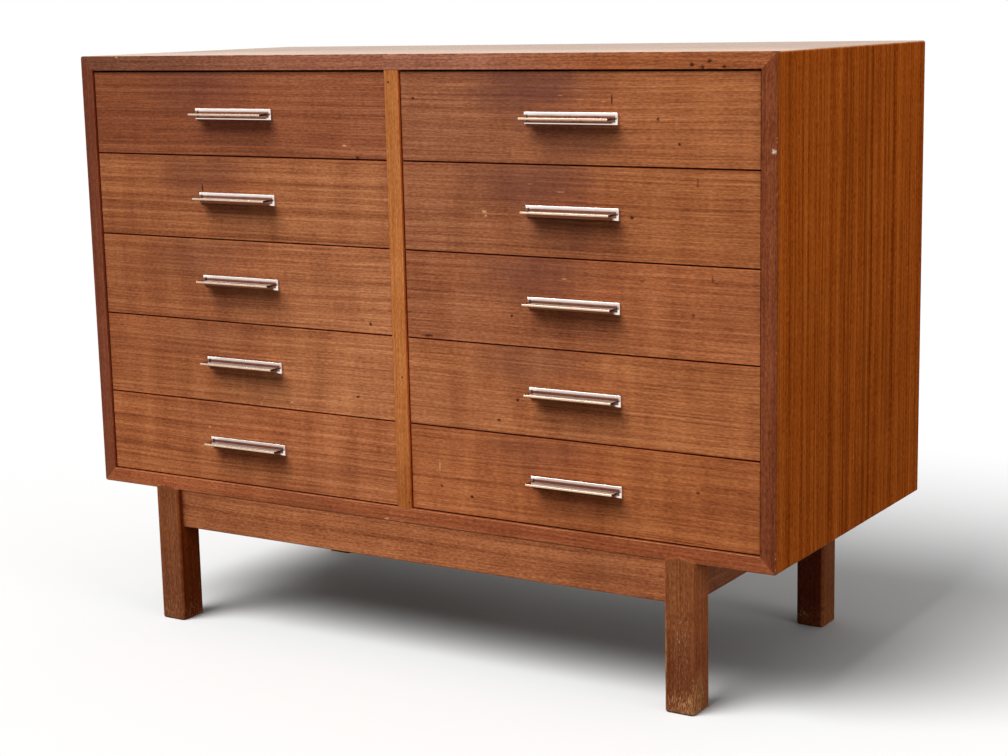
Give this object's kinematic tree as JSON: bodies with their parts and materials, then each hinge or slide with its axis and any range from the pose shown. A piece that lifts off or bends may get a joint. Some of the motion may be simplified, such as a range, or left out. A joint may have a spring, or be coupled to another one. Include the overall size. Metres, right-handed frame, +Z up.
{
  "type": "chest of drawers",
  "caption": "Free-standing wooden chest of drawers: mitred case on a leg-and-rail frame, columns of drawers side by side on wooden runners, slim metal blade pulls.",
  "frame": {"origin": "on the floor, at the middle of the width and of the whole depth, pulls included", "axes": "+X to the right seen from the front, +Y to the back, +Z up; the drawers open along -Y"},
  "size_m": [1, 0.4582, 0.753],
  "materials": {
    "teak_veneer": "teak veneer, satin lacquer, aged",
    "teak_front": "teak veneer with level grain, satin lacquer",
    "teak_lipping": "solid teak, satin lacquer, worn edges",
    "teak_frame": "solid teak, oiled",
    "beech": "bare beech",
    "drawer_beech": "beech, thin clear lacquer",
    "back_plywood": "thin plywood, bare",
    "nickel": "bright nickel plate, light tarnish",
    "screw_steel": "plain steel screws, dulled"
  },
  "bodies": {
    "case": {"top_panel": "teak_veneer", "bottom_panel": "teak_veneer", "left_side_panel": "teak_veneer", "right_side_panel": "teak_veneer", "centre_divider": "teak_veneer", "top_lipping": "teak_lipping", "bottom_lipping": "teak_lipping", "left_lipping": "teak_lipping", "right_lipping": "teak_lipping", "divider_lipping": "teak_lipping", "front_left_leg": "teak_frame", "back_left_leg": "teak_frame", "front_right_leg": "teak_frame", "back_right_leg": "teak_frame", "front_rail": "teak_frame", "back_rail": "teak_frame", "left_rail": "teak_frame", "right_rail": "teak_frame", "mitre_splines": "beech", "left_runners": "beech", "divider_left_runners": "beech", "divider_right_runners": "beech", "right_runners": "beech", "rail_dowels": "beech", "corner_blocks": "beech", "back_panel": "back_plywood", "back_panel_screws": "screw_steel", "runner_screws": "screw_steel", "corner_block_screws": "screw_steel"},
    "drawer_left_1": {"drawer_front_left_1": "teak_front", "drawer_box_left_1": "drawer_beech", "drawer_pull_left_1": "nickel"},
    "drawer_left_2": {"drawer_front_left_2": "teak_front", "drawer_box_left_2": "drawer_beech", "drawer_pull_left_2": "nickel"},
    "drawer_left_3": {"drawer_front_left_3": "teak_front", "drawer_box_left_3": "drawer_beech", "drawer_pull_left_3": "nickel"},
    "drawer_left_4": {"drawer_front_left_4": "teak_front", "drawer_box_left_4": "drawer_beech", "drawer_pull_left_4": "nickel"},
    "drawer_left_5": {"drawer_front_left_5": "teak_front", "drawer_box_left_5": "drawer_beech", "drawer_pull_left_5": "nickel"},
    "drawer_right_1": {"drawer_front_right_1": "teak_front", "drawer_box_right_1": "drawer_beech", "drawer_pull_right_1": "nickel"},
    "drawer_right_2": {"drawer_front_right_2": "teak_front", "drawer_box_right_2": "drawer_beech", "drawer_pull_right_2": "nickel"},
    "drawer_right_3": {"drawer_front_right_3": "teak_front", "drawer_box_right_3": "drawer_beech", "drawer_pull_right_3": "nickel"},
    "drawer_right_4": {"drawer_front_right_4": "teak_front", "drawer_box_right_4": "drawer_beech", "drawer_pull_right_4": "nickel"},
    "drawer_right_5": {"drawer_front_right_5": "teak_front", "drawer_box_right_5": "drawer_beech", "drawer_pull_right_5": "nickel"}
  },
  "joints": [
    {"name": "drawer_left_1_slide", "type": "slide", "parent": "case", "child": "drawer_left_1", "axis": [0, -1, 0], "range_m": [0, 0.3]},
    {"name": "drawer_left_2_slide", "type": "slide", "parent": "case", "child": "drawer_left_2", "axis": [0, -1, 0], "range_m": [0, 0.3]},
    {"name": "drawer_left_3_slide", "type": "slide", "parent": "case", "child": "drawer_left_3", "axis": [0, -1, 0], "range_m": [0, 0.3]},
    {"name": "drawer_left_4_slide", "type": "slide", "parent": "case", "child": "drawer_left_4", "axis": [0, -1, 0], "range_m": [0, 0.3]},
    {"name": "drawer_left_5_slide", "type": "slide", "parent": "case", "child": "drawer_left_5", "axis": [0, -1, 0], "range_m": [0, 0.3]},
    {"name": "drawer_right_1_slide", "type": "slide", "parent": "case", "child": "drawer_right_1", "axis": [0, -1, 0], "range_m": [0, 0.3]},
    {"name": "drawer_right_2_slide", "type": "slide", "parent": "case", "child": "drawer_right_2", "axis": [0, -1, 0], "range_m": [0, 0.3]},
    {"name": "drawer_right_3_slide", "type": "slide", "parent": "case", "child": "drawer_right_3", "axis": [0, -1, 0], "range_m": [0, 0.3]},
    {"name": "drawer_right_4_slide", "type": "slide", "parent": "case", "child": "drawer_right_4", "axis": [0, -1, 0], "range_m": [0, 0.3]},
    {"name": "drawer_right_5_slide", "type": "slide", "parent": "case", "child": "drawer_right_5", "axis": [0, -1, 0], "range_m": [0, 0.3]}
  ]
}
